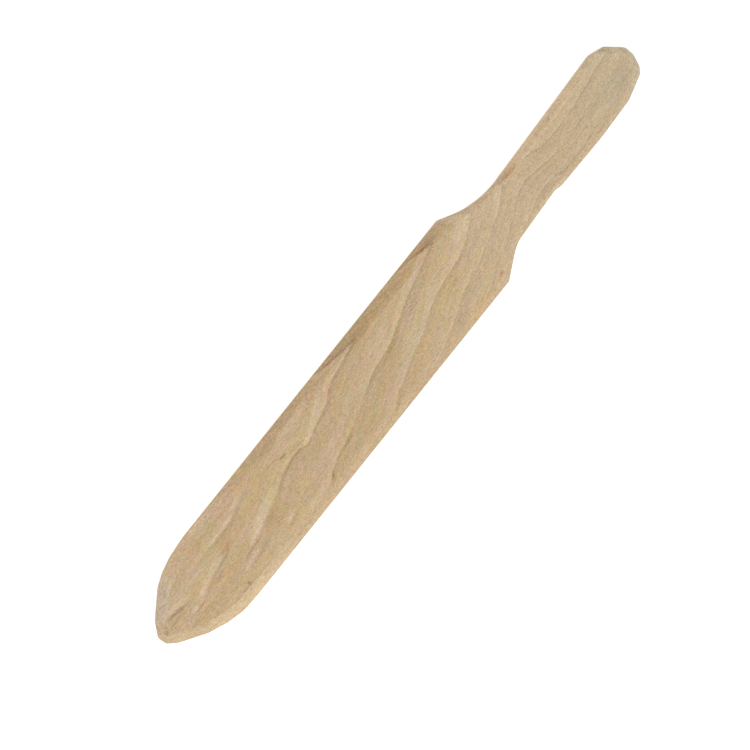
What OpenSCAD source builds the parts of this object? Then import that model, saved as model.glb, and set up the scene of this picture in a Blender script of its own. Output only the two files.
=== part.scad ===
// A crepe spatula cut from one beech board: a long blade with an arched tip, a narrow neck and a
// flat grip shaped by hand. A bevel runs round both faces, wide on the blade and narrow on the grip.
// X runs from the tip to the grip, Y across the board and Z up from the underside. The origin is
// under the middle of the board. Left is +Y and right is -Y.

/* [Board] */
// Overall length
length = 335; // [325:1:345]
// Thickness of the board
thickness = 5; // [4.6:0.1:7]
// Colour of the bare beech
beech = "#C6AB88"; // ["#C6AB88", "#D2B48C", "#B8946A"]

/* [Blade] */
// Width of the blade
blade_w = 44; // [42:0.5:48]
// Length of the arched tip, whose two sides meet in a blunt nose
tip_l = 43.5; // [41:0.5:44.5]
// Radius of each side of the arch
arch_r = 58; // [56:1:62]

/* [Neck] */
// Angle between each flat shoulder and the centre line
shoulder_a = 29.5; // [28:0.5:31]
// Distance from the tip to the narrowest place on the left
neck_left_x = 252.5; // [250:0.5:255]
// Distance from the centre line to that place
neck_left = 12.1; // [11.6:0.1:12.6]
// Radius of the hollow between it and the left shoulder
neck_left_r = 50; // [44:1:54]
// Distance from the tip to the foot of the right shoulder
neck_right_x = 244; // [242:0.5:246]
// Distance from the centre line to that place
neck_right = 13.2; // [12.8:0.1:13.3]
// Radius of the hollow between it and the right shoulder
neck_right_r = 25; // [20:1:30]
// Distance from the tip to the waist, a shallow hollow in the right side
waist_x = 260; // [258:0.5:262]
// Distance from the centre line to the waist
waist = 12.1; // [11.6:0.1:12.3]
// Radius of the waist
waist_r = 64; // [56:1:72]

/* [Grip] */
// Distance from the centre line to the left side, at its widest
grip_left = 14.9; // [14.5:0.1:15.2]
// Distance from the centre line to the belly, the widest place on the right
grip_right = 13.6; // [13.4:0.1:14]
// Distance from the butt end to the belly
belly_back = 35; // [30:1:40]
// Length of the butt, where the left side starts to turn in
butt_l = 14; // [12:0.5:16]
// Radius of the very end of the butt
butt_r = 14.4; // [14:0.1:15.4]

/* [Bevels] */
// Width of the bevel round the blade
blade_bevel_w = 4; // [3:0.1:5]
// Depth of the bevel round the blade, in each face
blade_bevel_d = 1.9; // [1.2:0.1:2]
// Width of the bevel round the grip
grip_bevel_w = 2.2; // [1.5:0.1:3]
// Depth of the bevel round the grip, in each face
grip_bevel_d = 1.1; // [0.6:0.1:1.6]

/* [Hidden] */
$fn = 180;

half_blade = blade_w / 2;

// Far enough past the board's edges and faces in every direction
spare = 400;
over = 1;

// Neighbouring bevels differ a little in depth, so that no more than three faces meet at a corner
bevel_step = 0.08;

// The arch passes a little outside the straight edge, so that the two meet at a slight angle
arch_rise = 0.1;
arch_y = half_blade + arch_rise - arch_r;
arch_overlap = 1.5;

// Each shoulder dips a little into its hollow, and the left side of the grip starts a little proud
// of the same hollow, for the same reason
shoulder_dip = 0.1;
proud = 0.1;
left_centre = [neck_left_x, neck_left + neck_left_r];
right_centre = [neck_right_x, -neck_right - neck_right_r];

// Sides of the grip, from the neck to the butt on the right and back to the neck on the left. The
// butt has two flats on each side
right_sides = [
    [neck_left_x, -grip_right + 0.2],
    [length - belly_back, -grip_right],
    [length - 1.2 * butt_l, -grip_right + 1.05],
    [length - 0.3 * butt_l, -grip_right + 5],
    [length, -0.9]
];
left_sides = [
    [length, 4.5],
    [length - 0.4 * butt_l, grip_left - 3.1],
    [length - butt_l, grip_left],
    [neck_left_x, neck_left + proud]
];

// The very end of the butt is round, from here on
butt_y = 0.6;
butt_wrap = 8;

function blade_bevel(i) = [blade_bevel_w, blade_bevel_d + bevel_step * i];

function grip_bevel(i) = [grip_bevel_w, grip_bevel_d + bevel_step * i];

// Section through an edge, from the edge at u = start inwards: a land, and above and below it a
// bevel that runs on past the faces of the board
function edge_section(start, inward, bevel, depth) =
    let (reach = bevel[0] * (1 + over / bevel[1]))
    [
        [start, bevel[1]],
        [start, thickness - bevel[1]],
        [start + inward * reach, thickness + over],
        [start + inward * depth, thickness + over],
        [start + inward * depth, -over],
        [start + inward * reach, -over]
    ];

// All that lies to the left of a straight edge through two points
module straight_edge(from, to, bevel) {
    run = to - from;
    translate(from)
        rotate(atan2(run[1], run[0]))
            rotate([90, 0, 90])
                translate([0, 0, -spare])
                    linear_extrude(2 * spare)
                        polygon(edge_section(0, 1, bevel, spare));
}

// All that lies inside a round edge
module round_edge(centre, r, bevel) {
    translate(centre)
        rotate_extrude()
            polygon(edge_section(r, -1, bevel, r));
}

// What is cut away to leave a hollow edge, with a flare above and below that cuts its bevels
module hollow(centre, r, bevel) {
    mouth = r + bevel[0] * (1 + over / bevel[1]);
    translate(centre)
        rotate_extrude()
            polygon([
                [0, -over],
                [mouth, -over],
                [r, bevel[1]],
                [r, thickness - bevel[1]],
                [mouth, thickness + over],
                [0, thickness + over]
            ]);
}

// The board before it is shaped
module board() {
    translate([-over, -spare, 0])
        cube([length + 2 * over, 2 * spare, thickness]);
}

// All that lies between two distances from the tip
module stretch(from, to) {
    translate([from, -spare, -2 * over])
        cube([to - from, 2 * spare, thickness + 4 * over]);
}

// One side of the arched tip, and all that lies behind the tip
module arch(y) {
    round_edge([tip_l, y], arch_r, blade_bevel(0));
    stretch(tip_l - arch_overlap, spare);
}

// Edges of the blade
module blade() {
    intersection() {
        straight_edge([0, -half_blade], [length, -half_blade], blade_bevel(1));
        straight_edge([length, half_blade], [0, half_blade], blade_bevel(1));
        straight_edge([0, half_blade], [0, -half_blade], blade_bevel(1));
        arch(arch_y);
        arch(-arch_y);
    }
}

// Flat shoulder beside the hollow round a centre, and all that lies behind it
module shoulder(centre, r, side) {
    foot = centre - (r - shoulder_dip) * [sin(shoulder_a), side * cos(shoulder_a)];
    step = [cos(shoulder_a), -side * sin(shoulder_a)];
    straight_edge(foot + max(side, 0) * step, foot + max(-side, 0) * step, grip_bevel(0));
    stretch(foot[0], spare);
}

// Round end of the butt, and all that lies in front of it
module butt() {
    round_edge([length - butt_r, butt_y], butt_r, grip_bevel(2));
    stretch(-spare, length - butt_wrap);
}

// Edges of the grip, and all that lies in front of it
module grip() {
    intersection_for(sides = [right_sides, left_sides])
        intersection_for(i = [0:len(sides) - 2])
            straight_edge(sides[i], sides[i + 1], grip_bevel(i % 2));
    stretch(-spare, neck_left_x);
}

// Hollows on both sides of the neck, and the waist behind the right one
module hollows() {
    hollow(left_centre, neck_left_r, grip_bevel(3));
    hollow(right_centre, neck_right_r, grip_bevel(2));
    intersection() {
        hollow([waist_x, -waist - waist_r], waist_r, grip_bevel(3));
        stretch(neck_right_x, spare);
    }
}

module spatula() {
    color(beech)
        translate([-length / 2, 0, 0])
            difference() {
                intersection() {
                    board();
                    blade();
                    shoulder(left_centre, neck_left_r, 1);
                    shoulder(right_centre, neck_right_r, -1);
                    grip();
                    butt();
                }
                hollows();
            }
}

spatula();
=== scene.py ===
import math
import bpy
from mathutils import Matrix, Vector


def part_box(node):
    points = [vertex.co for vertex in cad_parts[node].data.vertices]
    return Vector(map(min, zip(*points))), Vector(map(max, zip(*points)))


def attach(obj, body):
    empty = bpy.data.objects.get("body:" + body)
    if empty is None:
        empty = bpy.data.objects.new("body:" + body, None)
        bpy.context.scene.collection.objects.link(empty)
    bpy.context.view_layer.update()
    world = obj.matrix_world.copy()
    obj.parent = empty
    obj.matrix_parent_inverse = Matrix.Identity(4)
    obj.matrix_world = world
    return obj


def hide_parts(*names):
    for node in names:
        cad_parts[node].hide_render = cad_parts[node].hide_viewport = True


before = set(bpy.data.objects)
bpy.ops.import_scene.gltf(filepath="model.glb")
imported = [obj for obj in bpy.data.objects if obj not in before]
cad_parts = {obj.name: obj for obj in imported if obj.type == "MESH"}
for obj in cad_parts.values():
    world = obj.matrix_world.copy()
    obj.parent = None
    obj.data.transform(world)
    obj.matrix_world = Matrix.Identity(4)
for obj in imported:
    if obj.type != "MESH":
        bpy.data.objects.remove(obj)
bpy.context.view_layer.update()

# Wooden crepe spatula, lying flat. X runs from the tip to the butt, Y to the left, Z up.
# Sizes in the dictionaries are millimetres, measured from the tip and from the centre line.
mm = 0.001
low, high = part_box("spatula")
boardLength = (high.x - low.x) / mm
boardWidth = (high.y - low.y) / mm
boardThickness = (high.z - low.z) / mm
print("frame: board %.1f x %.1f x %.1f mm" % (boardLength, boardWidth, boardThickness))


# Camera
cameraSetup = {
    "lens": 120,                # mm, on a 36 mm sensor
    "pixelsPerMm": 2.25072,     # on the board
    "imageSize": 750,           # pixels
    "turn": 51.2711,            # degrees from the image's horizontal to the centre line
    "lean": 17.4,               # degrees from straight down, over the left edge
    "aim": (151.7, 0.3),        # point of the board in the middle of the image
    "sideStep": 0.85,           # how far the lean moves the upper face to the right of its outline
    "clip": (0.01, 20),         # m
}


def aimCamera(setup):
    turn = math.radians(setup["turn"])
    lean = math.radians(setup["lean"])
    alongBoard = Vector((1, 0, 0))
    acrossBoard = Vector((0, math.cos(lean), -math.sin(lean)))
    back = alongBoard.cross(acrossBoard)
    right = alongBoard * math.cos(turn) - acrossBoard * math.sin(turn)
    up = alongBoard * math.sin(turn) + acrossBoard * math.cos(turn)
    viewWidth = setup["imageSize"] / setup["pixelsPerMm"] * mm
    data = bpy.data.cameras.new("camera")
    data.lens = setup["lens"]
    data.clip_start, data.clip_end = setup["clip"]
    distance = viewWidth * setup["lens"] / data.sensor_width
    aim = Vector((low.x + setup["aim"][0] * mm, setup["aim"][1] * mm, high.z))
    camera = bpy.data.objects.new("camera", data)
    bpy.context.scene.collection.objects.link(camera)
    place = Matrix((right, up, back)).transposed().to_4x4()
    place.translation = aim + back * distance
    camera.matrix_world = place
    bpy.context.scene.camera = camera


aimCamera(cameraSetup)
print("camera placed")


# Helpers for node trees
def feed(tree, socket, value):
    if isinstance(value, bpy.types.NodeSocket):
        tree.links.new(value, socket)
    else:
        socket.default_value = value


def addNode(tree, kind, inputs=None, **settings):
    node = tree.nodes.new(kind)
    for name, value in settings.items():
        setattr(node, name, value)
    for key, value in (inputs or {}).items():
        feed(tree, node.inputs[key], value)
    return node


def calc(tree, operation, *values):
    node = addNode(tree, "ShaderNodeMath", operation=operation)
    for socket, value in zip(node.inputs, values):
        feed(tree, socket, value)
    return node.outputs["Value"]


def calcVector(tree, operation, *values):
    node = addNode(tree, "ShaderNodeVectorMath", operation=operation)
    for socket, value in zip(node.inputs, values):
        feed(tree, socket, value)
    return node.outputs["Value" if operation in ("DOT_PRODUCT", "LENGTH") else "Vector"]


def scaleVector(tree, vector, factor):
    node = addNode(tree, "ShaderNodeVectorMath", {"Vector": vector, "Scale": factor}, operation="SCALE")
    return node.outputs["Vector"]


def splitVector(tree, vector):
    return addNode(tree, "ShaderNodeSeparateXYZ", {"Vector": vector}).outputs


def joinVector(tree, x, y, z):
    return addNode(tree, "ShaderNodeCombineXYZ", {"X": x, "Y": y, "Z": z}).outputs["Vector"]


def remap(tree, value, fromMin, fromMax, toMin, toMax, kind="LINEAR"):
    node = addNode(tree, "ShaderNodeMapRange", interpolation_type=kind)
    for socket, number in zip(node.inputs, (value, fromMin, fromMax, toMin, toMax)):
        feed(tree, socket, number)
    return node.outputs["Result"]


mixSockets = {"FLOAT": 2, "VECTOR": 4, "RGBA": 6}       # first input of each kind on a Mix node
mixResults = {"FLOAT": 0, "VECTOR": 1, "RGBA": 2}


def mix(tree, kind, factor, a, b, blend="MIX"):
    node = addNode(tree, "ShaderNodeMix", data_type=kind, blend_type=blend)
    feed(tree, node.inputs[0], factor)
    feed(tree, node.inputs[mixSockets[kind]], a)
    feed(tree, node.inputs[mixSockets[kind] + 1], b)
    return node.outputs[mixResults[kind]]


def noise(tree, vector, scale, detail=2, roughness=0.5):
    values = {"Vector": vector, "Scale": scale, "Detail": detail, "Roughness": roughness}
    return addNode(tree, "ShaderNodeTexNoise", values).outputs["Fac"]


def addSockets(tree, direction, sockets):
    for name, kind in sockets:
        tree.interface.new_socket(name=name, in_out=direction, socket_type="NodeSocket" + kind)


# Shape of the board
boardShape = {
    # corners of each side: X from the tip, distance from the centre line, radius
    "rightTip": [(0, 2.7, 2.2), (3.6, 7.05, 12), (15.2, 15.15, 12), (24.5, 19.3, 16), (33, 21.6, 20)],
    "leftTip": [(0, 1.9, 2.2), (5.2, 7.85, 14), (17.8, 16.5, 14), (24.5, 19.25, 14), (32, 21.0, 30)],
    "tipEnd": (43, 30),         # the arched tip runs into the straight side here, and the radius there
    "shoulder": (222.0, 2.4),   # the straight side turns in to the neck here, and the radius there
    "rightNeck": [(237.4, 13.45, 14), (266.2, 11.8, 4), (269.9, 12.85, 3), (298, 13.35, 120)],
    "leftNeck": [(240.0, 11.7, 44)],
    # the same for the butt, but X from its end
    "rightButt": [(16.6, 12.45, 6), (4.6, 8.85, 2), (2.2, 6.4, 3), (0, 0.6, 3)],
    "leftButt": [(13.6, 15.0, 5), (6.1, 12.15, 3), (0.1, 4.4, 3)],
    # bevel in each face: width, depth, radius of the sanded corner at its foot, radius of the
    # softened line at its top, and how far that line's softness reaches into the face
    "bladeEdge": {"width": 4.0, "depth": 1.95, "foot": 0.35, "top": 1.6, "margin": 0.75},
    "gripEdge": {"width": 2.3, "depth": 1.15, "foot": 0.5, "top": 3.0, "margin": 1.0},
    "gripFrom": 222,            # the bevel narrows from here to there
    "gripTo": 238,
    "samples": 1280,            # points round the outline
    "rows": 20,                 # rows from the middle of the edge to the flat face
    "rowCrowding": 1.6,         # how much the rows crowd towards the middle of the edge
    "columns": 24,              # columns across the flat face
    "outlineArc": 40,           # points in each corner's arc, in the outline and in the bevel
    "bevelArc": 12,
    "mergeWithin": 0.002,
    "turnSpread": 40,           # how gradually the bevel turns round a corner
    "bevelWobble": 0.09,        # share by which the bevel's width wanders
    "wobbleScale": 45,          # waves of that in a metre
    "faceShift": 0.3,           # m between the two faces' noises, so that they differ
    "bow": 6,                   # how far the rungs across the faces bow away from the nose and butt
    "bowRungs": 12,             # the bow is full from this rung on
    "relief": 0.05,             # hand-sanded unevenness, always inwards
    "longWaves": (28, 90, 120),  # its waves in a metre along, across and down
    "shortWaves": (140, 420, 420),
    "shortShare": 0.3,
    "seed": 4,
}


def outlineCorners(shape):
    # Corners counter-clockwise from the middle of the nose, each with the radius of its arc
    half = boardWidth / 2
    sides = []
    for side, name in ((-1, "right"), (1, "left")):
        corners = [(x, side * y, radius) for x, y, radius in shape[name + "Tip"]]
        for x, radius in (shape["tipEnd"], shape["shoulder"]):
            corners.append((x, side * half, radius))
        corners += [(x, side * y, radius) for x, y, radius in shape[name + "Neck"]]
        corners += [(boardLength - back, side * y, radius) for back, y, radius in shape[name + "Butt"]]
        sides.append(corners)
    right, left = sides
    return [(0, 0, 0)] + right + left[::-1]


def sectionCorners(bevel):
    # Upper half of the section through an edge: X inwards from the edge, Y up from mid-thickness
    half = boardThickness / 2
    return [
        (0, 0, 0),
        (0, half - bevel["depth"], bevel["foot"]),
        (bevel["width"], half, bevel["top"]),
        (bevel["width"] + bevel["margin"], half, 0),
    ]


def cornerLine(name, corners, closed, start=0):
    # Chain of corners in metres, with each corner's radius kept as an attribute
    points = [((x + start) * mm, y * mm, 0) for x, y, radius in corners]
    pairs = [(i, i + 1) for i in range(len(points) - 1)]
    if closed:
        pairs.append((len(points) - 1, 0))
    mesh = bpy.data.meshes.new(name)
    mesh.from_pydata(points, pairs, [])
    radii = mesh.attributes.new("cornerRadius", "FLOAT", "POINT")
    radii.data.foreach_set("value", [radius * mm for x, y, radius in corners])
    line = bpy.data.objects.new(name, mesh)
    bpy.context.scene.collection.objects.link(line)
    return line


def readAttribute(tree, name, kind):
    node = addNode(tree, "GeometryNodeInputNamedAttribute", {"Name": name}, data_type=kind)
    return node.outputs["Attribute"]


def keepAttribute(tree, geometry, name, value, kind):
    values = {"Geometry": geometry, "Name": name, "Value": value}
    node = addNode(tree, "GeometryNodeStoreNamedAttribute", values, data_type=kind, domain="POINT")
    return node.outputs["Geometry"]


def roundedCurve(tree, mesh, count):
    # Turns a chain of corners into a curve with an arc at each corner
    curve = addNode(tree, "GeometryNodeMeshToCurve", {"Mesh": mesh}).outputs["Curve"]
    values = {"Curve": curve, "Radius": readAttribute(tree, "cornerRadius", "FLOAT")}
    fillet = addNode(tree, "GeometryNodeFilletCurve", values, mode="POLY")
    fillet.inputs["Count"].default_value = count
    fillet.inputs["Limit Radius"].default_value = True
    return fillet.outputs["Curve"]


def edgePointGroup(shape):
    # Point of the edge: which sample of the outline, how far along the section, and which face
    tree = bpy.data.node_groups.new("edgePoint", "GeometryNodeTree")
    addSockets(tree, "INPUT", [
        ("Outline", "Geometry"), ("Blade Section", "Geometry"), ("Grip Section", "Geometry"),
        ("Sample", "Float"), ("Reach", "Float"), ("Side", "Float"), ("Samples", "Float"),
        ("Grip From", "Float"), ("Grip To", "Float"), ("Bevel Wobble", "Float"), ("Seed", "Float"),
    ])
    addSockets(tree, "OUTPUT", [("Position", "Vector")])
    given = addNode(tree, "NodeGroupInput").outputs

    index = calc(tree, "MODULO", given["Sample"], given["Samples"])
    place = addNode(tree, "GeometryNodeInputPosition").outputs[0]
    inward = readAttribute(tree, "inward", "FLOAT_VECTOR")
    found = []
    for field in (place, inward):
        sampler = addNode(tree, "GeometryNodeSampleIndex", data_type="FLOAT_VECTOR")
        feed(tree, sampler.inputs["Geometry"], given["Outline"])
        feed(tree, sampler.inputs["Value"], field)
        feed(tree, sampler.inputs["Index"], index)
        found.append(sampler.outputs["Value"])
    edge, inward = found

    # wide bevel on the blade, narrow bevel on the grip
    sections = []
    for name in ("Blade Section", "Grip Section"):
        sampler = addNode(tree, "GeometryNodeSampleCurve", mode="FACTOR", use_all_curves=True)
        feed(tree, sampler.inputs["Curves"], given[name])
        feed(tree, sampler.inputs["Factor"], given["Reach"])
        sections.append(sampler.outputs["Position"])
    edgeX = splitVector(tree, edge)["X"]
    gripShare = remap(tree, edgeX, given["Grip From"], given["Grip To"], 0, 1, "SMOOTHSTEP")
    section = splitVector(tree, mix(tree, "VECTOR", gripShare, *sections))

    # the bevel's width wanders a little, and not alike on the two faces
    layer = calc(tree, "MULTIPLY_ADD", given["Side"], shape["faceShift"], given["Seed"])
    shifted = calcVector(tree, "ADD", edge, joinVector(tree, 0, 0, layer))
    wander = noise(tree, shifted, shape["wobbleScale"])
    stray = calc(tree, "MULTIPLY", calc(tree, "SUBTRACT", wander, 0.5), 2)
    widen = calc(tree, "MULTIPLY_ADD", stray, given["Bevel Wobble"], 1)
    depth = calc(tree, "MULTIPLY", section["X"], widen)
    height = calc(tree, "MULTIPLY", section["Y"], given["Side"])

    result = calcVector(tree, "ADD", edge, scaleVector(tree, inward, depth))
    result = calcVector(tree, "ADD", result, joinVector(tree, 0, 0, height))
    addNode(tree, "NodeGroupOutput", {"Position": result})
    return tree


def boardTree(shape):
    # Sweeps the section round the outline and fills both faces with rungs from side to side
    tree = bpy.data.node_groups.new("boardFromOutline", "GeometryNodeTree")
    addSockets(tree, "INPUT", [
        ("Corners", "Geometry"), ("Blade Section", "Object"), ("Grip Section", "Object"),
        ("Samples", "Int"), ("Rows", "Int"), ("Columns", "Int"), ("Turn Spread", "Int"),
        ("Grip From", "Float"), ("Grip To", "Float"), ("Middle Height", "Float"),
        ("Bevel Wobble", "Float"), ("Bow", "Float"), ("Bow Rungs", "Float"), ("Relief", "Float"),
        ("Seed", "Float"), ("Material", "Material"),
    ])
    addSockets(tree, "OUTPUT", [("Geometry", "Geometry")])
    given = addNode(tree, "NodeGroupInput").outputs

    curve = roundedCurve(tree, given["Corners"], shape["outlineArc"])
    values = {"Curve": curve, "Count": given["Samples"]}
    outline = addNode(tree, "GeometryNodeResampleCurve", values, mode="COUNT").outputs["Curve"]
    heading = addNode(tree, "GeometryNodeInputTangent").outputs[0]
    inward = calcVector(tree, "CROSS_PRODUCT", (0, 0, 1), heading)
    values = {"Value": inward, "Iterations": given["Turn Spread"]}
    blur = addNode(tree, "GeometryNodeBlurAttribute", values, data_type="FLOAT_VECTOR")
    inward = calcVector(tree, "NORMALIZE", blur.outputs["Value"])
    outline = keepAttribute(tree, outline, "inward", inward, "FLOAT_VECTOR")
    sections = {}
    for name in ("Blade Section", "Grip Section"):
        info = addNode(tree, "GeometryNodeObjectInfo", {"Object": given[name]})
        info.inputs["As Instance"].default_value = False
        sections[name] = roundedCurve(tree, info.outputs["Geometry"], shape["bevelArc"])
    group = edgePointGroup(shape)

    def edgePoint(sample, reach, side):
        node = addNode(tree, "GeometryNodeGroup", node_tree=group)
        feed(tree, node.inputs["Outline"], outline)
        feed(tree, node.inputs["Sample"], sample)
        feed(tree, node.inputs["Reach"], reach)
        feed(tree, node.inputs["Side"], side)
        for name in ("Blade Section", "Grip Section"):
            feed(tree, node.inputs[name], sections[name])
        for name in ("Samples", "Grip From", "Grip To", "Bevel Wobble", "Seed"):
            feed(tree, node.inputs[name], given[name])
        return node.outputs["Position"]

    def unitGrid(cellsX, cellsY):
        # Grid with cells one unit wide, and its whole-number coordinates from zero up
        values = {
            "Size X": cellsX,
            "Size Y": cellsY,
            "Vertices X": calc(tree, "ADD", cellsX, 1),
            "Vertices Y": calc(tree, "ADD", cellsY, 1),
        }
        grid = addNode(tree, "GeometryNodeMeshGrid", values).outputs["Mesh"]
        at = splitVector(tree, addNode(tree, "GeometryNodeInputPosition").outputs[0])
        spots = []
        for axis, cells in (("X", cellsX), ("Y", cellsY)):
            spot = calc(tree, "MULTIPLY_ADD", cells, 0.5, at[axis])
            spots.append(calc(tree, "ROUND", spot))
        return grid, spots[0], spots[1]

    # edge: from the lower face over the land to the upper face
    halfRows = calc(tree, "SUBTRACT", given["Rows"], 1)
    rim, sample, row = unitGrid(given["Samples"], calc(tree, "MULTIPLY", halfRows, 2))
    step = calc(tree, "SUBTRACT", row, halfRows)
    reach = calc(tree, "DIVIDE", calc(tree, "ABSOLUTE", step), halfRows)
    reach = calc(tree, "POWER", reach, shape["rowCrowding"])
    side = calc(tree, "SIGN", step)
    values = {"Geometry": rim, "Position": edgePoint(sample, reach, side)}
    rimPart = addNode(tree, "GeometryNodeSetPosition", values).outputs["Geometry"]
    rimPart = keepAttribute(tree, rimPart, "edge", calc(tree, "SUBTRACT", 1, reach), "FLOAT")

    # faces: each rung runs from a sample on the right to the sample opposite on the left. It bows
    # away from the nearer end, so that no two cross where the rim is blunt
    parts = [rimPart]
    halfSamples = calc(tree, "MULTIPLY", given["Samples"], 0.5)
    for faceSide in (1, -1):
        face, sample, column = unitGrid(halfSamples, given["Columns"])
        right = edgePoint(sample, 1, faceSide)
        left = edgePoint(calc(tree, "SUBTRACT", given["Samples"], sample), 1, faceSide)
        across = calc(tree, "DIVIDE", column, given["Columns"])
        fromMiddle = calc(tree, "ABSOLUTE", calc(tree, "MULTIPLY_ADD", across, 2, -1))
        bend = calc(tree, "SUBTRACT", 1, fromMiddle)
        passed = calc(tree, "DIVIDE", sample, halfSamples)
        turn = calc(tree, "COSINE", calc(tree, "MULTIPLY", passed, math.pi))
        fromEnd = calc(tree, "MINIMUM", sample, calc(tree, "SUBTRACT", halfSamples, sample))
        grow = remap(tree, fromEnd, 0, given["Bow Rungs"], 0, given["Bow"])
        bow = joinVector(tree, calc(tree, "MULTIPLY", calc(tree, "MULTIPLY", bend, turn), grow), 0, 0)
        rung = calcVector(tree, "ADD", mix(tree, "VECTOR", across, right, left), bow)
        values = {"Geometry": face, "Position": rung}
        part = addNode(tree, "GeometryNodeSetPosition", values).outputs["Geometry"]
        if faceSide < 0:
            part = addNode(tree, "GeometryNodeFlipFaces", {"Mesh": part}).outputs["Mesh"]
        parts.append(part)
    joined = addNode(tree, "GeometryNodeJoinGeometry")
    for part in reversed(parts):
        tree.links.new(part, joined.inputs["Geometry"])
    values = {"Geometry": joined.outputs["Geometry"], "Distance": shape["mergeWithin"] * mm}
    whole = addNode(tree, "GeometryNodeMergeByDistance", values).outputs["Geometry"]

    # long shallow waves left by hand sanding, and the rise to mid-thickness
    place = addNode(tree, "GeometryNodeInputPosition").outputs[0]
    normal = addNode(tree, "GeometryNodeInputNormal").outputs[0]
    longWave = noise(tree, calcVector(tree, "MULTIPLY", place, shape["longWaves"]), 1)
    shortWave = noise(tree, calcVector(tree, "MULTIPLY", place, shape["shortWaves"]), 1, detail=1)
    wave = calc(tree, "MULTIPLY_ADD", shortWave, shape["shortShare"], longWave)
    depth = calc(tree, "MULTIPLY", wave, given["Relief"])
    sink = scaleVector(tree, normal, calc(tree, "MULTIPLY", depth, -1))
    rise = joinVector(tree, 0, 0, given["Middle Height"])
    values = {"Geometry": whole, "Offset": calcVector(tree, "ADD", sink, rise)}
    whole = addNode(tree, "GeometryNodeSetPosition", values).outputs["Geometry"]

    whole = addNode(tree, "GeometryNodeSetShadeSmooth", {"Geometry": whole}).outputs["Geometry"]
    whole = addNode(tree, "GeometryNodeRealizeInstances", {"Geometry": whole}).outputs["Geometry"]
    values = {"Geometry": whole, "Material": given["Material"]}
    whole = addNode(tree, "GeometryNodeSetMaterial", values).outputs["Geometry"]
    addNode(tree, "NodeGroupOutput", {"Geometry": whole})
    return tree


def makeBoard(shape, material):
    outline = cornerLine("boardOutline", outlineCorners(shape), True, low.x / mm)
    sections = []
    for kind in ("blade", "grip"):
        corners = sectionCorners(shape[kind + "Edge"])
        sections.append(cornerLine(kind + "Section", corners, False))
    tree = boardTree(shape)
    values = {
        "Blade Section": sections[0],
        "Grip Section": sections[1],
        "Samples": shape["samples"],
        "Rows": shape["rows"],
        "Columns": shape["columns"],
        "Turn Spread": shape["turnSpread"],
        "Grip From": low.x + shape["gripFrom"] * mm,
        "Grip To": low.x + shape["gripTo"] * mm,
        "Middle Height": (low.z + high.z) / 2,
        "Bevel Wobble": shape["bevelWobble"],
        "Bow": shape["bow"] * mm,
        "Bow Rungs": float(shape["bowRungs"]),
        "Relief": shape["relief"] * mm,
        "Seed": float(shape["seed"]),
        "Material": material,
    }
    modifier = outline.modifiers.new("board", "NODES")
    modifier.node_group = tree
    for item in tree.interface.items_tree:
        if item.name in values and item.in_out == "INPUT":
            modifier[item.identifier] = values[item.name]
    bpy.context.view_layer.update()
    shown = outline.evaluated_get(bpy.context.evaluated_depsgraph_get())
    mesh = bpy.data.meshes.new_from_object(shown)
    mesh.name = "spatulaBoard"
    board = bpy.data.objects.new("spatulaBoard", mesh)
    bpy.context.scene.collection.objects.link(board)
    outline.modifiers.remove(modifier)
    for helper in (outline, *sections):
        bpy.data.objects.remove(helper)
    return board


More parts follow.
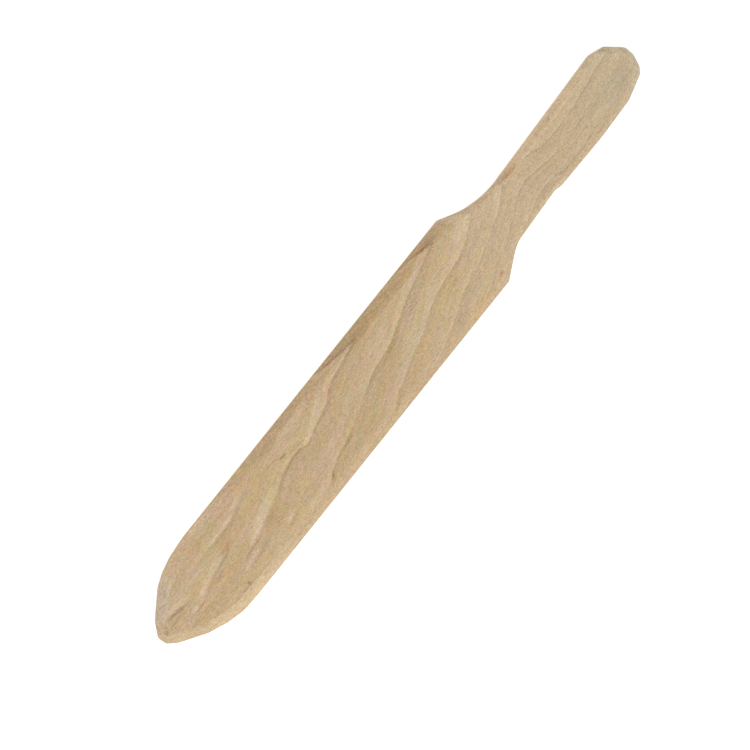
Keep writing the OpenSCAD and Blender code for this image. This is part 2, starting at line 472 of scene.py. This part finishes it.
# Beech
beechGrain = {
    "wood": (195, 171.5, 136.5),    # middle tone, sRGB
    # growth rings: X, Y and strength along each line on the upper face, from the right to the left
    "ringLines": [
        [(0, -60, 0.3), (180, -40, 0.3), (215, -25, 0.3), (236, -15, 0.3), (247, -11.5, 0.3),
         (255, -9, 0.3), (258, -8, 0.3), (265, -7.5, 0.35), (268, -7.5, 0.35), (273, -8.8, 0.3),
         (280, -9.7, 0.3), (288, -9.7, 0.3), (296, -9, 0.35), (305, -8.2, 0.4), (312, -7.2, 0.4),
         (323, -5, 0.4), (335, -3.5, 0.4)],
        [(0, -54, 0.3), (180, -32, 0.3), (205, -20, 0.3), (213, -17.5, 0.3), (222, -14.4, 0.35),
         (233, -10, 0.6), (240, -7.2, 0.65), (245, -4.8, 0.7), (250, -2.2, 0.7), (254, 0.1, 0.6),
         (258, 1.5, 0.45), (262, 1.6, 0.45), (266, 0.7, 0.6), (270, -0.1, 0.65), (275, -1.1, 0.6),
         (280, -1.7, 0.5), (286, -1.8, 0.4), (292, -1.1, 0.45), (300, -0.1, 0.5), (305, 0.4, 0.5),
         (312, 1.1, 0.5), (320, 1.9, 0.55), (328, 2.8, 0.55), (335, 3.3, 0.5)],
        [(0, -42, 0.3), (150, -29, 0.3), (172, -21, 0.3), (180, -18, 0.3), (186, -16.4, 0.35),
         (190, -15, 0.4), (197, -12.3, 0.4), (201, -10.4, 0.4), (205, -8.8, 0.45), (213, -7, 0.45),
         (220, -5.7, 0.55), (225, -4.1, 0.55), (230, -2.8, 0.45), (235, -0.8, 0.4),
         (238, 0.6, 0.45), (243, 2.8, 0.65), (247, 5.2, 0.65), (250, 7, 0.65), (253, 8.7, 0.5),
         (258, 9.3, 0.3), (264, 8.9, 0.3), (270, 7.9, 0.45), (275, 6.2, 0.65), (278, 5.3, 0.7),
         (285, 4.9, 0.8), (292, 5, 0.8), (297, 4.9, 0.7), (303, 5.9, 0.7), (310, 7.1, 0.65),
         (318, 8.3, 0.6), (325, 9.1, 0.5), (335, 9.8, 0.5)],
        [(0, -30, 0.3), (100, -28, 0.3), (125, -24, 0.3), (140, -20.2, 0.4), (147, -17.3, 0.45),
         (151, -15.3, 0.5), (157, -13, 0.65), (163, -10.8, 0.65), (170, -8.7, 0.65),
         (180, -5.8, 0.65), (187, -3.1, 0.7), (193, -0.8, 0.8), (197, 0.3, 0.8), (205, 1.6, 0.85),
         (212, 2.6, 0.8), (218, 3.8, 0.85), (225, 6.2, 0.8), (229, 8.2, 0.6), (233, 10.8, 0.35),
         (236, 13, 0.35), (242, 15.5, 0.35), (253, 18, 0.4), (262, 17, 0.5), (280, 14, 0.6),
         (302, 14.5, 0.6), (335, 17, 0.6)],
        [(0, -17.5, 0.2), (30, -17.5, 0.2), (48, -17.3, 0.2), (66, -18.8, 0.25), (82, -18.5, 0.35),
         (92, -17.7, 0.4), (100, -16.6, 0.6), (105, -14.8, 0.7), (109, -12.8, 0.75),
         (113, -11.2, 0.85), (120, -9.8, 0.9), (126, -7.9, 0.75), (133, -5.8, 0.5),
         (139, -3.8, 0.5), (145, -1.5, 0.75), (150, 0.1, 0.9), (157, 1.6, 0.95), (164, 2.6, 1.1),
         (170, 4.1, 1.05), (175, 5.7, 1), (180, 7.5, 0.95), (185, 9.3, 0.95), (190, 10.9, 0.95),
         (197, 12.8, 0.95), (205, 14.7, 1), (212, 16.6, 1), (222, 20.5, 0.9), (240, 27, 0.8),
         (253, 32, 0.8), (335, 34, 0.8)],
        [(0, -9, 0.1), (20, -8.2, 0.1), (40, -7.8, 0.15), (52, -7.2, 0.1), (60, -6, 0.15),
         (65, -4.9, 0.2), (68, -4, 0.25), (72, -2.8, 0.3), (80, -0.9, 0.35), (85, 1.2, 0.35),
         (90, 3.5, 0.4), (96, 4.6, 0.5), (102, 5.6, 0.55), (105, 5.1, 0.55), (108, 3.9, 0.6),
         (112, 4.1, 0.65), (116, 5.9, 0.7), (122, 7.2, 0.75), (129, 8.9, 0.85), (131, 10.2, 0.9),
         (134, 12.1, 0.95), (140, 13.8, 1), (147, 14.9, 1), (157, 17, 0.9), (170, 20.3, 1),
         (185, 23.2, 0.9), (200, 25, 0.9), (215, 28, 0.9), (335, 46, 0.8)],
        [(0, 5.5, 0.1), (30, 7.5, 0.15), (45, 8.7, 0.35), (55, 9, 0.4), (62, 9.6, 0.35),
         (70, 12, 0.2), (80, 15, 0.1), (95, 18.6, 0.1), (115, 19.5, 0.2), (135, 24, 0.8),
         (170, 33, 0.9), (215, 42, 0.9), (335, 60, 0.8)],
    ],
    "ringGaps": (8.5, 16),      # distance to the next line, right of the first and left of the last
    "ringWidth": 12,            # usual distance between two lines
    "ringDip": 0.41,            # rings fewer for each mm down into the board
    "lineBlend": (0.4, 0.6),    # shares of a ring between which one line's strength gives way
    "waver": [((30, 10, 6), 0.25), ((7, 2.2, 1.5), 0.3), ((1.8, 0.6, 0.6), 0.2)],
    # pale after a line, darkening towards the next one
    "ringShade": [
        (0, 1), (0.07, 0.95), (0.15, 0.6), (0.25, 0.38), (0.38, 0.16), (0.5, -0.1), (0.62, -0.38),
        (0.75, -0.5), (0.88, -0.6), (1, -0.75),
    ],
    "patchiness": (0.65, 1.1),  # how far the rings fade in and out
    # size of the patches in mm, and the noise where the rings are weakest and strongest
    "bandPatches": ((30, 9, 9), -0.7, 0.5),
    "linePatches": ((24, 7, 7), -0.6, 0.5),
    "shadeDepth": 0.115,
    "lineDepth": 0.13,
    "lineFrom": 0.86,           # where the dark line starts and is full, as shares of the ring
    "lineFull": 0.96,
    "ringTone": 0.02,           # how far each ring's own tone may stray
    "cream": (0.995, 1.014, 1.065, 1),
    "golden": (1.0, 0.962, 0.92, 1),
    "seed": 7.3,
    # size of each noise in mm along, across and down, and how far it changes the tone. The long
    # ones run along the rings, the fine ones along the board
    "longTones": [((60, 12, 8), 0.05), ((28, 2.6, 3), 0.06), ((10, 1.3, 1.5), 0.09)],
    "fineTones": [((2.2, 0.8, 0.8), 0.15), ((0.8, 0.5, 0.5), 0.28), ((4, 3, 3), 0.05)],
    "toneDetail": (3, 0.6),     # detail and roughness of those noises
    # pairs of tints that the colour wanders between, the noises that it follows, and how far these
    # are moved along the board, so that no two agree
    "hues": [
        ((1.05, 0.978, 0.99, 1), (0.96, 1.012, 0.975, 1),
         [((18, 6, 4), 0.5), ((4, 2.4, 2.4), 0.6)], 126),
        ((1.0, 1.0, 0.89, 1), (0.99, 1.0, 1.10, 1),
         [((24, 5, 5), 0.6), ((5, 2.2, 2.2), 0.7)], 168),
    ],
    "hueShare": [(0, 1), (215, 1), (245, 0.55), (335, 0.45)],   # how strong they are along the board
    # short ripples across the grain, in patches: depth is reached where the patch's noise is full
    "ripple": {"size": (0.9, 2.8, 2.8), "detail": 1, "patch": (22, 7, 5), "full": 0.8, "depth": 0.08},
    # short dark flecks: size in mm, share of places that have one, and its core and rim
    "flecks": [
        {"size": (2.8, 0.65, 0.65), "share": 0.45, "core": 0.1, "rim": 0.45,
         "tint": (0.78, 0.73, 0.67, 1)},
        {"size": (1.2, 0.3, 0.3), "share": 0.5, "core": 0.1, "rim": 0.42,
         "tint": (0.84, 0.81, 0.77, 1)},
    ],
    # tints of single streaks and spots
    "dark": (0.68, 0.63, 0.56, 1),
    "brown": (0.70, 0.57, 0.44, 1),
    "tan": (0.925, 0.893, 0.825, 1),
    "cool": (0.97, 1.0, 1.08, 1),
    "grey": (0.86, 0.90, 0.94, 1),
    "pale": (1.155, 1.235, 1.33, 1),
    "rose": (1.0, 0.955, 0.99, 1),
    # noise that frays their sides and by how many half widths, half lengths from the middle where
    # one starts to fade and is gone, and half lengths for each mm down
    "fraySize": (3, 0.7, 0.7),
    "fray": 0.5,
    "markFade": (0.25, 1.1),
    "markDip": 0.4,
    # the streaks and spots: X, Y, direction in degrees, length, width, tint, strength
    "marks": [
        # tip, left half
        (14.5, 2.0, -10, 18, 1.8, "dark", 0.9),
        (6.4, 2.0, 45, 5, 1.5, "dark", 0.65),
        (4.2, -0.3, 40, 4, 2.2, "brown", 0.8),
        (13, -0.2, -2, 15, 2.2, "brown", 0.35),
        (15.8, 4.2, -10, 19, 3.4, "pale", 1),
        (27, 6.2, 0, 36, 5.5, "pale", 0.3),
        (29, 8, 2, 40, 10, "cool", 1),
        (29, 9, 4, 30, 7, "rose", 0.5),
        (18, 12, 42, 8, 1.2, "brown", 0.3),
        (42.5, 2.5, 10, 19, 4.2, "pale", 0.95),
        (48.4, 2.9, 20, 4, 1.6, "dark", 0.6),
        (50.5, 2.4, 35, 7, 2.6, "brown", 0.5),
        (46, 0.4, 15, 9, 1.6, "dark", 0.6),
        (52, 9.9, 2, 18, 1.4, "pale", 0.75),
        (60.3, 10.6, 4, 10, 2.2, "pale", 1),
        (68.5, 13.2, 14, 11, 2.8, "pale", 0.8),
        (57, 8.5, 4, 26, 1.4, "dark", 0.35),
        (58, 6.4, 2, 34, 3.6, "tan", 0.8),
        (52, 3.6, 3, 22, 3.4, "tan", 1),
        (52, 15.6, 2, 34, 6, "tan", 0.8),
        # tip, right half
        (30, -0.8, 21, 19, 3.8, "pale", 0.9),
        (47, 4.2, 5, 26, 3, "tan", 0.8),
        (20.7, -3.6, 0, 7, 2.8, "pale", 0.9),
        (23.5, -4.9, 2, 12, 1.0, "dark", 0.8),
        (33, -2.5, 20, 12, 1.0, "dark", 0.5),
        (40.5, -0.4, 13, 13, 1.2, "dark", 0.6),
        (38, -3.4, 8, 15, 3.4, "brown", 0.3),
        (47, -5.3, 6, 32, 4.6, "tan", 0.8),
        (72, -0.2, 18, 34, 6.2, "pale", 0.85),
        (62, -4.0, 18, 10, 2.6, "pale", 0.45),
        (74, -4.9, 14, 18, 4.4, "brown", 0.28),
        (58.5, -6.6, 4, 17, 1.0, "dark", 0.75),
        (52.8, -9.8, 10, 18, 2.8, "pale", 0.85),
        (57, -11.3, 11, 17, 1.0, "dark", 0.6),
        (63, -10, 10, 6, 2.4, "grey", 0.8),
        (68, -12.4, -5, 12, 1.8, "pale", 0.6),
        (78.5, -11.6, 16, 12, 2.0, "pale", 0.7),
        (79, -13.3, 12, 12, 1.0, "dark", 0.5),
        (88, -12.3, 4, 10, 1.3, "dark", 0.35),
        (37, -13.9, 4, 20, 1.8, "pale", 0.55),
        (44.3, -15.4, 60, 3.0, 2.0, "brown", 1),
        (40.3, -16.3, 5, 4, 0.9, "dark", 0.5),
        (24, -9, -4, 30, 7, "tan", 0.3),
        (90, -19.4, 1, 150, 3, "cool", 0.5),
        (91, -15.8, 7, 32, 3.2, "pale", 0.7),
        (91, -15.2, 7, 34, 4.5, "cool", 0.6),
        (98, -12.6, 8, 18, 2.6, "tan", 0.6),
        (78, -19.6, 1, 18, 0.8, "brown", 0.35),
        # blade
        (128, 11.3, 12, 13, 3, "cool", 1),
        (91.5, 11.1, 0, 12, 0.9, "brown", 0.55),
        (98, 9.1, -6, 6, 1.3, "brown", 1),
        (97, 4.3, 12, 14, 1.3, "dark", 0.5),
        (104, 5.0, -6, 7, 1.3, "brown", 0.4),
        (96, 6.4, 8, 16, 2.0, "pale", 0.4),
        (110.5, 5.4, 12, 8, 2.8, "pale", 0.9),
        (121, 9.8, 27, 24, 3.6, "pale", 0.6),
        (120, 9.4, 22, 30, 4.5, "cool", 0.9),
        (113, 16.4, 4, 34, 4.2, "pale", 0.75),
        (133, 11.5, 12, 40, 7, "rose", 0.8),
        (144.5, 19.0, -9, 29, 1.5, "brown", 0.85),
        (147, 16.7, 5, 17, 1.6, "pale", 0.1),
        (151, 19.8, -5, 34, 3.0, "brown", 0.15),
        (187, 1, 15, 52, 16, "pale", 0.22),
        (72, -18.3, 2, 20, 3, "pale", 0.3),
        (120.5, -10.3, 5, 12, 1.1, "dark", 0.4),
        (105, -14.7, 35, 3.4, 1.7, "brown", 0.95),
        (163, 0.8, 13, 30, 3.2, "dark", 0.15),
        (165, 1.3, 6, 8, 0.8, "dark", 0.35),
        (193, 8.2, 17, 32, 4.2, "grey", 0.35),
        (206, 18.8, -14, 16, 1.8, "brown", 0.8),
        (204.5, 17.2, 0, 16, 1.9, "pale", 0.6),
        (212, 18.9, -8, 14, 3.4, "dark", 0.45),
        (192, -13.4, 22, 14, 2.0, "pale", 0.3),
        (207, -12, 10, 12, 5, "grey", 0.4),
        # shoulders and neck
        (222, 19.3, -24, 20, 2, "brown", 0.3),
        (227, 10.4, 22, 19, 6.5, "pale", 0.42),
        (230, 14, -35, 20, 6, "pale", 0.3),
        (222.5, -17, 10, 3.6, 1.8, "brown", 0.5),
        (235, -10.6, 22, 16, 2.4, "grey", 0.8),
        (247, 7.8, 36, 13, 2.6, "pale", 0.4),
        (258, 3.2, 22, 9, 1.2, "pale", 0.3),
        (258.5, 10.1, 0, 13, 4.0, "brown", 0.6),
        (262, -8.2, 2, 13, 2.4, "dark", 0.25),
        # grip
        (278, 10.4, 2, 44, 4, "grey", 0.85),
        (277, -5.8, 0, 58, 10, "grey", 0.35),
        (262, 0, 10, 28, 12, "grey", 0.35),
        (241, 9.5, -12, 20, 8, "pale", 0.22),
        (281, -10.2, -2, 18, 1.6, "dark", 0.2),
        (270, -12, -2, 30, 1.6, "pale", 0.3),
        (309.5, 11.1, 0, 4, 1.2, "dark", 0.7),
        (298, 12.5, -3, 4, 0.8, "brown", 0.5),
        (312.5, 6.6, -4, 5, 1, "dark", 0.4),
        (322.5, -4.7, 7, 14, 1.4, "grey", 0.9),
        (322.5, -4.7, 7, 13, 0.8, "dark", 0.3),
        (318, -2.5, 2, 42, 10, "grey", 0.6),
        (324.6, 10.9, -60, 5, 1.8, "pale", 0.5),
        (327.2, 11.2, -60, 6, 2.2, "dark", 0.4),
        (328, 8.3, -50, 4, 1.8, "brown", 0.4),
    ],
    # tints of the bevel on one side, 1 for the left and -1 for the right, and how strong each is
    # along the board. Most are painted light: the pale ones are painted highlight and the darker ones
    # painted shade on each bevel; the orange-brown of the first is also the wood's own tone there
    "bevels": [
        # orange-brown on the left bevel of the blade: the wood's own tone where the bevel cuts the
        # rings, and painted shade
        (1, (0.92, 0.875, 0.82, 1),
         [(0, 0), (75, 0), (95, 0.4), (125, 0.4), (150, 0.5), (165, 0.95), (212, 0.9), (222, 0.6),
          (232, 0.2), (262, 0), (335, 0)]),
        # painted highlight on the left bevel near the tip
        (1, (1.18, 1.20, 1.30, 1),
         [(0, 0.2), (14, 0.25), (22, 0.5), (32, 0.4), (42, 0.45), (50, 0.8), (60, 0.7), (70, 0.4),
          (90, 0.1), (110, 0), (335, 0)]),
        # cool painted sheen on the left bevel at the tip
        (1, (0.9, 1.0, 1.25, 1), [(0, 0.2), (8, 0.45), (16, 0.45), (26, 0.15), (36, 0), (335, 0)]),
        # painted highlight that lightens the shaded left bevel of the grip
        (1, (1.29, 1.24, 1.25, 1),
         [(0, 0), (240, 0), (262, 0.4), (280, 0.55), (300, 0.5), (315, 0.3), (325, 0), (335, 0)]),
        # painted shade on the left bevel before the shoulder
        (1, (0.90, 0.88, 0.88, 1), [(0, 0), (170, 0.3), (200, 0.3), (216, 0.25), (230, 0), (335, 0)]),
        # painted highlight on the right bevel near the tip
        (-1, (1.24, 1.28, 1.33, 1),
         [(0, 0), (12, 0.1), (20, 0.5), (30, 0.9), (40, 1), (54, 0.85), (64, 0.55), (75, 0.25),
          (90, 0.25), (125, 0.25), (150, 0.15), (165, 0), (335, 0)]),
    ],
    # painted highlight on the rims at the tip and the butt
    "endHighlight": (
        (1.05, 1.10, 1.17, 1),
        [(0, 0.9), (12, 0.8), (24, 0.2), (45, 0), (312, 0), (326, 0.7), (335, 1)]),
    "bevelFade": (0.08, 0.24),  # the edge attribute where these tints start and are full
    "sideFade": (2, 7),         # the same from the centre line outwards, for those of one side
    # tints of the whole board
    "lengthwise": [
        ((0.985, 0.965, 0.945, 1), [(0, 1), (90, 1), (150, 0.4), (200, 0), (335, 0)]),
        ((1.03, 1.055, 1.115, 1), [(0, 0), (200, 0), (235, 1), (262, 0.95), (285, 0.8), (335, 0.8)]),
        ((0.96, 1.0, 1.03, 1), [(0, 0), (285, 0), (312, 1), (335, 1)]),
    ],
}

beechFinish = {
    "fibre": ((6, 0.35, 0.35), 3, 0.65),    # size in mm, detail and roughness of the noise
    "roughness": 0.62,
    "roughnessChange": 0.06,
    "specular": 0.3,
    "bumpDepth": 0.03,          # mm
}


def linear(colour):
    # sRGB values up to 255 to a linear colour
    channels = [value / 255 for value in colour]
    return [c / 12.92 if c <= 0.04045 else ((c + 0.055) / 1.055) ** 2.4 for c in channels] + [1]


def boardPlace(tree):
    # Place on the board in mm: X from the tip, Y from the centre line as the camera sees it, Z up
    # from the upper face, so that it is negative inside
    inputs = {"Vector": addNode(tree, "ShaderNodeTexCoord").outputs["Object"]}
    mapping = addNode(tree, "ShaderNodeMapping", inputs)
    mapping.inputs["Location"].default_value = (-low.x / mm, -cameraSetup["sideStep"], -high.z / mm)
    mapping.inputs["Scale"].default_value = (1 / mm, 1 / mm, 1 / mm)
    return mapping.outputs["Vector"]


def curveThrough(tree, value, reach, points):
    # Smooth curve through points, read at a value between 0 and reach
    heights = [height for place, height in points]
    least, most = min(heights), max(heights)
    node = addNode(tree, "ShaderNodeFloatCurve", {"Value": calc(tree, "DIVIDE", value, reach)})
    curve = node.mapping.curves[0]
    for i, (place, height) in enumerate(points):
        spot = (place / reach, (height - least) / (most - least))
        if i < 2:
            curve.points[i].location = spot
        else:
            curve.points.new(*spot)
    node.mapping.update()
    return remap(tree, node.outputs["Value"], 0, 1, least, most)


def stretch(tree, place, size):
    # A Mapping node, so that a texture reads the place without a change of type on the way, which
    # Cycles would put off until too many other values wait for it
    mapping = addNode(tree, "ShaderNodeMapping", {"Vector": place})
    mapping.inputs["Scale"].default_value = [1 / length for length in size]
    return mapping.outputs["Vector"]


def grainNoise(tree, place, size, detail=2, roughness=0.5):
    # Noise mostly between -1 and 1, whose features are about as large as size, in mm
    found = noise(tree, stretch(tree, place, size), 1, detail, roughness)
    return calc(tree, "MULTIPLY_ADD", found, 4, -2)


def ringField(tree, place, grain):
    # Number of growth rings passed, rising towards the left and out of the face, and the strength of
    # the nearest line
    spot = splitVector(tree, place)
    across = spot["Y"]
    for size, reach in grain["waver"]:
        across = calc(tree, "MULTIPLY_ADD", grainNoise(tree, place, size), reach, across)
    lines, strengths = [], []
    for line in grain["ringLines"]:
        course = [(x, y) for x, y, strength in line]
        fading = [(x, strength) for x, y, strength in line]
        lines.append(curveThrough(tree, spot["X"], boardLength, course))
        strengths.append(curveThrough(tree, spot["X"], boardLength, fading))
    rings = calc(tree, "MULTIPLY", spot["Z"], grain["ringDip"])
    for line, bound, gap in ((lines[0], "MINIMUM", 0), (lines[-1], "MAXIMUM", 1)):
        beyond = calc(tree, bound, calc(tree, "SUBTRACT", across, line), 0)
        rings = calc(tree, "MULTIPLY_ADD", beyond, 1 / grain["ringGaps"][gap], rings)
    strength = strengths[0]
    for i in range(1, len(lines)):
        passed = remap(tree, across, lines[i - 1], lines[i], 0, 1)
        rings = calc(tree, "ADD", rings, passed)
        nearer = remap(tree, passed, *grain["lineBlend"], 0, 1)
        strength = mix(tree, "FLOAT", nearer, strength, strengths[i])
    return rings, strength


def tinted(tree, colour, tint, strength=1):
    return mix(tree, "RGBA", strength, colour, tint, "MULTIPLY")


def ringTone(tree, place, rings, strength, grain):
    # Tone and tint of the growth rings: a pale band after each line, and the thin dark line itself
    share = calc(tree, "FRACT", rings)
    ring = calc(tree, "ADD", calc(tree, "FLOOR", rings), grain["seed"])
    chance = addNode(tree, "ShaderNodeTexWhiteNoise", {"W": ring}, noise_dimensions="1D")
    shade = curveThrough(tree, share, 1, grain["ringShade"])
    line = remap(tree, share, grain["lineFrom"], grain["lineFull"], 0, 1, "SMOOTHSTEP")
    here = []
    for size, weak, strong in (grain["bandPatches"], grain["linePatches"]):
        patches = grainNoise(tree, place, size)
        here.append(remap(tree, patches, weak, strong, *grain["patchiness"]))
    shade = calc(tree, "MULTIPLY", shade, calc(tree, "MULTIPLY", strength, here[0]))
    line = calc(tree, "MULTIPLY", line, calc(tree, "MULTIPLY", strength, here[1]))
    stray = grain["ringTone"]
    tone = remap(tree, chance.outputs["Value"], 0, 1, 1 - stray, 1 + stray)
    tone = calc(tree, "MULTIPLY_ADD", shade, grain["shadeDepth"], tone)
    tone = calc(tree, "MULTIPLY_ADD", line, -grain["lineDepth"], tone)
    return tone, mix(tree, "RGBA", remap(tree, shade, -1, 1, 0, 1), grain["golden"], grain["cream"])


def fleckMask(tree, place, flecks):
    # Short dark flecks drawn out along the grain, where a share of the cells has one
    values = {"Vector": stretch(tree, place, flecks["size"]), "Scale": 1}
    cells = addNode(tree, "ShaderNodeTexVoronoi", values).outputs
    chance = addNode(tree, "ShaderNodeSeparateColor", {"Color": cells["Color"]}).outputs["Red"]
    strength = remap(tree, chance, 0, flecks["share"], 1, 0)
    body = remap(tree, cells["Distance"], flecks["core"], flecks["rim"], 1, 0, "SMOOTHSTEP")
    return calc(tree, "MULTIPLY", body, strength)


def markMask(tree, place, fray, mark, grain):
    # One streak or spot in the upper face, drawn out along its own direction
    x, y, turn, length, width = mark
    spot = calcVector(tree, "SUBTRACT", place, (x, y, 0))
    cosine = math.cos(math.radians(turn)) * 2
    sine = math.sin(math.radians(turn)) * 2
    along = calcVector(tree, "DOT_PRODUCT", spot, (cosine / length, sine / length, 0))
    aside = calcVector(tree, "DOT_PRODUCT", spot, (-sine / width, cosine / width, 0))
    aside = calc(tree, "MULTIPLY_ADD", fray, grain["fray"], aside)
    depth = calcVector(tree, "DOT_PRODUCT", spot, (0, 0, grain["markDip"]))
    away = calcVector(tree, "LENGTH", joinVector(tree, along, aside, depth))
    return remap(tree, away, *grain["markFade"], 1, 0, "SMOOTHSTEP")


def beechMaterial(grain, finish):
    material = bpy.data.materials.new("beech")
    material.use_nodes = True
    tree = material.node_tree
    bsdf = tree.nodes["Principled BSDF"]
    place = boardPlace(tree)
    spot = splitVector(tree, place)

    rings, strength = ringField(tree, place, grain)
    tone, ringTint = ringTone(tree, place, rings, strength, grain)
    # this place's Y follows the rings, so that what reads it runs along them
    ringY = calc(tree, "MULTIPLY", rings, grain["ringWidth"])
    alongRings = joinVector(tree, spot["X"], ringY, spot["Z"])
    for tones, spread in ((grain["longTones"], alongRings), (grain["fineTones"], place)):
        for size, amount in tones:
            wander = grainNoise(tree, spread, size, *grain["toneDetail"])
            tone = calc(tree, "MULTIPLY_ADD", wander, amount, tone)
    ripple = grain["ripple"]
    patch = remap(tree, grainNoise(tree, place, ripple["patch"]), 0, ripple["full"], 0, ripple["depth"])
    ripples = grainNoise(tree, place, ripple["size"], ripple["detail"])
    tone = calc(tree, "MULTIPLY_ADD", ripples, patch, tone)
    colour = tinted(tree, tinted(tree, tuple(linear(grain["wood"])), tone), ringTint)

    hueShare = curveThrough(tree, spot["X"], boardLength, grain["hueShare"])
    for one, other, noises, shift in grain["hues"]:
        hue = 0.5
        for size, amount in noises:
            shifted = calcVector(tree, "ADD", alongRings, (shift, 0, 0))
            hue = calc(tree, "MULTIPLY_ADD", grainNoise(tree, shifted, size), amount, hue)
        colour = tinted(tree, colour, mix(tree, "RGBA", hue, one, other), hueShare)

    for flecks in grain["flecks"]:
        colour = tinted(tree, colour, flecks["tint"], fleckMask(tree, place, flecks))
    fray = grainNoise(tree, place, grain["fraySize"], *grain["toneDetail"])
    for *mark, tint, amount in grain["marks"]:
        mask = calc(tree, "MULTIPLY", markMask(tree, place, fray, mark, grain), amount)
        colour = tinted(tree, colour, grain[tint], mask)

    # tints of each bevel, by the attribute that rises from the flat face to the middle of the edge:
    # painted highlight and painted shade, and partly the wood's own tone
    edge = addNode(tree, "ShaderNodeAttribute", attribute_name="edge").outputs["Fac"]
    bevel = remap(tree, edge, *grain["bevelFade"], 0, 1, "SMOOTHSTEP")
    for side, tint, strengths in grain["bevels"]:
        outwards = calc(tree, "MULTIPLY", spot["Y"], side)
        here = remap(tree, outwards, *grain["sideFade"], 0, 1, "SMOOTHSTEP")
        here = calc(tree, "MULTIPLY", here, curveThrough(tree, spot["X"], boardLength, strengths))
        colour = tinted(tree, colour, tint, calc(tree, "MULTIPLY", here, bevel))
    # painted highlight on the rims at the tip and the butt
    tint, strengths = grain["endHighlight"]
    here = curveThrough(tree, spot["X"], boardLength, strengths)
    colour = tinted(tree, colour, tint, calc(tree, "MULTIPLY", here, bevel))
    for tint, strengths in grain["lengthwise"]:
        colour = tinted(tree, colour, tint, curveThrough(tree, spot["X"], boardLength, strengths))

    fibre = grainNoise(tree, place, *finish["fibre"])
    tree.links.new(colour, bsdf.inputs["Base Color"])
    rough = calc(tree, "MULTIPLY_ADD", fibre, finish["roughnessChange"], finish["roughness"])
    tree.links.new(rough, bsdf.inputs["Roughness"])
    bsdf.inputs["Specular IOR Level"].default_value = finish["specular"]
    bump = addNode(tree, "ShaderNodeBump", {"Height": fibre, "Distance": finish["bumpDepth"] * mm})
    tree.links.new(bump.outputs["Normal"], bsdf.inputs["Normal"])
    return material


beech = beechMaterial(beechGrain, beechFinish)
print("beech made: %d nodes" % len(beech.node_tree.nodes))

board = makeBoard(boardShape, beech)
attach(board, "root")
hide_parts("spatula")
print("board: %d vertices, %d faces" % (len(board.data.vertices), len(board.data.polygons)))


# Light and floor
studio = {
    "skyColour": (1.02, 1.0, 0.97, 1),
    "skyStrength": 0.728,
    "floorSize": 6,             # m
    "floorColour": (0.36, 0.36, 0.36, 1),
    "floorRoughness": 0.9,
    "floorGlow": 0.80,
    "keyPower": 58,             # W
    "keySize": 2.0,             # m
    "keyPlace": (-1.6, -1.6, 3.2),
}


def makeStudio(setup):
    scene = bpy.context.scene
    world = bpy.data.worlds.new("studioSky")
    world.use_nodes = True
    background = world.node_tree.nodes["Background"]
    background.inputs["Color"].default_value = setup["skyColour"]
    background.inputs["Strength"].default_value = setup["skyStrength"]
    scene.world = world
    scene.view_settings.view_transform = "Standard"

    key = bpy.data.lights.new("key", "AREA")
    key.energy = setup["keyPower"]
    key.size = setup["keySize"]
    lamp = bpy.data.objects.new("key", key)
    lamp.location = setup["keyPlace"]
    lamp.rotation_euler = (-Vector(setup["keyPlace"])).to_track_quat("-Z", "Y").to_euler()
    scene.collection.objects.link(lamp)

    reach = setup["floorSize"] / 2
    corners = [(-reach, -reach, 0), (reach, -reach, 0), (reach, reach, 0), (-reach, reach, 0)]
    mesh = bpy.data.meshes.new("floor")
    mesh.from_pydata(corners, [], [(0, 1, 2, 3)])
    floor = bpy.data.objects.new("floor", mesh)
    scene.collection.objects.link(floor)
    material = bpy.data.materials.new("floorWhite")
    material.use_nodes = True
    bsdf = material.node_tree.nodes["Principled BSDF"]
    bsdf.inputs["Base Color"].default_value = setup["floorColour"]
    bsdf.inputs["Roughness"].default_value = setup["floorRoughness"]
    bsdf.inputs["Emission Color"].default_value = (1, 1, 1, 1)
    bsdf.inputs["Emission Strength"].default_value = setup["floorGlow"]
    mesh.materials.append(material)


makeStudio(studio)
print("studio lit")
